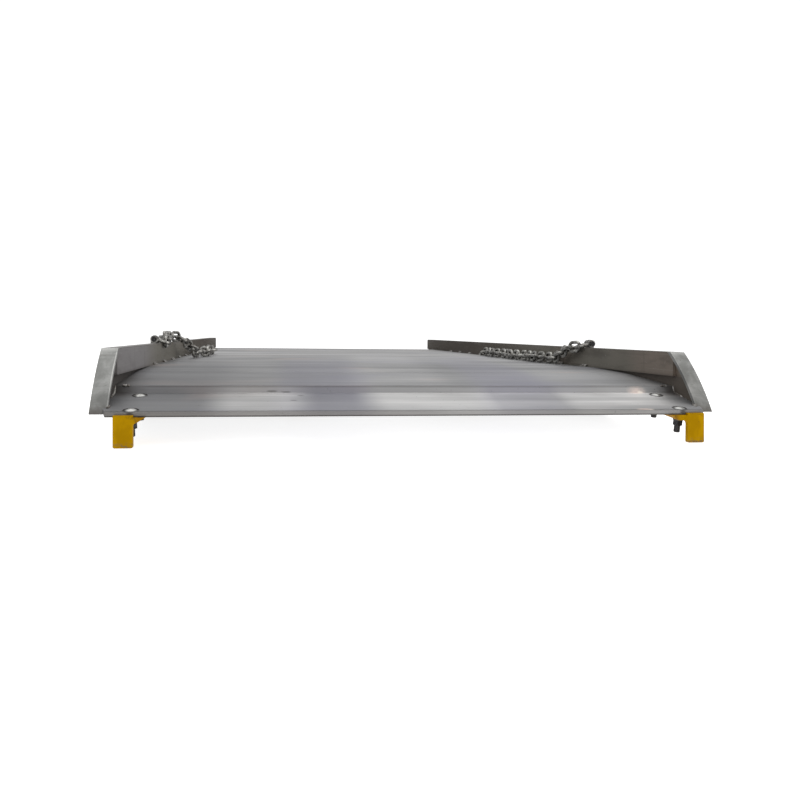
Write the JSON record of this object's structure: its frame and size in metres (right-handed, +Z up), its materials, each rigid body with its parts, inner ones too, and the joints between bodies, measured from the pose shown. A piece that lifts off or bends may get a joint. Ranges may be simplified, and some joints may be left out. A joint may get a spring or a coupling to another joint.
{
  "type": "aluminium walk ramp",
  "caption": "Aluminium walk ramp with a crosswise plank deck, a bevelled lip, low curbs, bolted yellow bracket legs and lifting chains.",
  "frame": {"origin": "centre of the bounding box at the ground under the rails", "axes": "+Y runs along the ramp from the lip to the ground end, +X to the right looking from the lip, +Z up"},
  "size_m": [0.9652, 2.4494, 0.167],
  "materials": {
    "deck": "extruded mill finish, scuffed",
    "rail": "weathered mill finish",
    "band": "bright mill finish with weld heat marks",
    "leg_paint": "gloss safety yellow with small chips",
    "zinc": "zinc plated",
    "dark_steel": "dark oily steel",
    "galvanised": "dull galvanised"
  },
  "bodies": {
    "ramp": {"lip_plank": "deck", "bend_plank": "deck", "deck_plank_1": "deck", "deck_plank_2": "deck", "deck_plank_3": "deck", "deck_plank_4": "deck", "deck_plank_5": "deck", "deck_plank_6": "deck", "heel_plank": "deck", "ground_plank": "deck", "side_rail_left": "rail", "side_rail_right": "rail", "deck_ledge_left": "rail", "deck_ledge_right": "rail", "curb_left": "rail", "curb_right": "rail", "end_band_left": "band", "end_band_right": "band", "curb_welds_left": "band", "curb_welds_right": "band", "inner_beam_left": "rail", "inner_beam_right": "rail", "leg_left": "leg_paint", "leg_right": "leg_paint", "leg_bolts": "zinc", "leg_washers": "zinc", "leg_nuts": "dark_steel", "chain_eye_left": "rail", "chain_eye_right": "rail"},
    "shackle_right": {"shackle_right": "galvanised", "shackle_pin_right": "dark_steel"},
    "chain_lead_right": {"chain_lead_right": "galvanised"},
    "chain_run_a_right": {"chain_run_a_right": "galvanised"},
    "chain_run_b_right": {"chain_run_b_right": "galvanised"},
    "chain_run_c_right": {"chain_run_c_right": "galvanised"},
    "chain_end_right": {"chain_end_right": "galvanised"},
    "shackle_left": {"shackle_left": "galvanised", "shackle_pin_left": "dark_steel"},
    "chain_lead_left": {"chain_lead_left": "galvanised"},
    "chain_run_a_left": {"chain_run_a_left": "galvanised"},
    "chain_run_b_left": {"chain_run_b_left": "galvanised"},
    "chain_run_c_left": {"chain_run_c_left": "galvanised"},
    "chain_end_left": {"chain_end_left": "galvanised"}
  },
  "joints": [
    {"name": "shackle_swing_right", "type": "hinge", "parent": "ramp", "child": "shackle_right", "pos_m": [0.474, -0.68369, 0.1487], "axis": [0, 1, 0], "range_deg": [0, 90]},
    {"name": "lead_lift_right", "type": "hinge", "parent": "shackle_right", "child": "chain_lead_right", "pos_m": [0.44921, -0.67432, 0.14159], "axis": [0.8913, 0.3746, 0.2556], "range_deg": [0, 45]},
    {"name": "run_a_lift_right", "type": "hinge", "parent": "chain_lead_right", "child": "chain_run_a_right", "pos_m": [0.43849, -0.5294, 0.11295], "axis": [1, 0, 0], "range_deg": [0, 45]},
    {"name": "run_b_lift_right", "type": "hinge", "parent": "chain_run_a_right", "child": "chain_run_b_right", "pos_m": [0.43884, -0.32936, 0.11294], "axis": [0.9989, -0.0467, 0], "range_deg": [0, 30]},
    {"name": "run_c_lift_right", "type": "hinge", "parent": "chain_run_b_right", "child": "chain_run_c_right", "pos_m": [0.43884, -0.12931, 0.11295], "axis": [0.9989, -0.0467, 0], "range_deg": [0, 30]},
    {"name": "end_swing_right", "type": "hinge", "parent": "chain_run_c_right", "child": "chain_end_right", "pos_m": [0.43698, 0.09582, 0.1129], "axis": [0, 0, 1], "range_deg": [-20, 20]},
    {"name": "shackle_swing_left", "type": "hinge", "parent": "ramp", "child": "shackle_left", "pos_m": [-0.474, -0.56369, 0.1487], "axis": [0, -1, 0], "range_deg": [0, 90]},
    {"name": "lead_lift_left", "type": "hinge", "parent": "shackle_left", "child": "chain_lead_left", "pos_m": [-0.44921, -0.55432, 0.14159], "axis": [0.8913, -0.3746, -0.2556], "range_deg": [0, 30]},
    {"name": "run_a_lift_left", "type": "hinge", "parent": "chain_lead_left", "child": "chain_run_a_left", "pos_m": [-0.4171, -0.22864, 0.11295], "axis": [1, 0, 0], "range_deg": [0, 45]},
    {"name": "run_b_lift_left", "type": "hinge", "parent": "chain_run_a_left", "child": "chain_run_b_left", "pos_m": [-0.4058, -0.0836, 0.11321], "axis": [0.9377, 0.3474, 0], "range_deg": [0, 30]},
    {"name": "run_c_lift_left", "type": "hinge", "parent": "chain_run_b_left", "child": "chain_run_c_left", "pos_m": [-0.39123, 0.06149, 0.11284], "axis": [0.9892, -0.1464, 0], "range_deg": [0, 30]},
    {"name": "end_swing_left", "type": "hinge", "parent": "chain_run_c_left", "child": "chain_end_left", "pos_m": [-0.41228, 0.18307, 0.11248], "axis": [0, 0, 1], "range_deg": [-20, 20]}
  ]
}
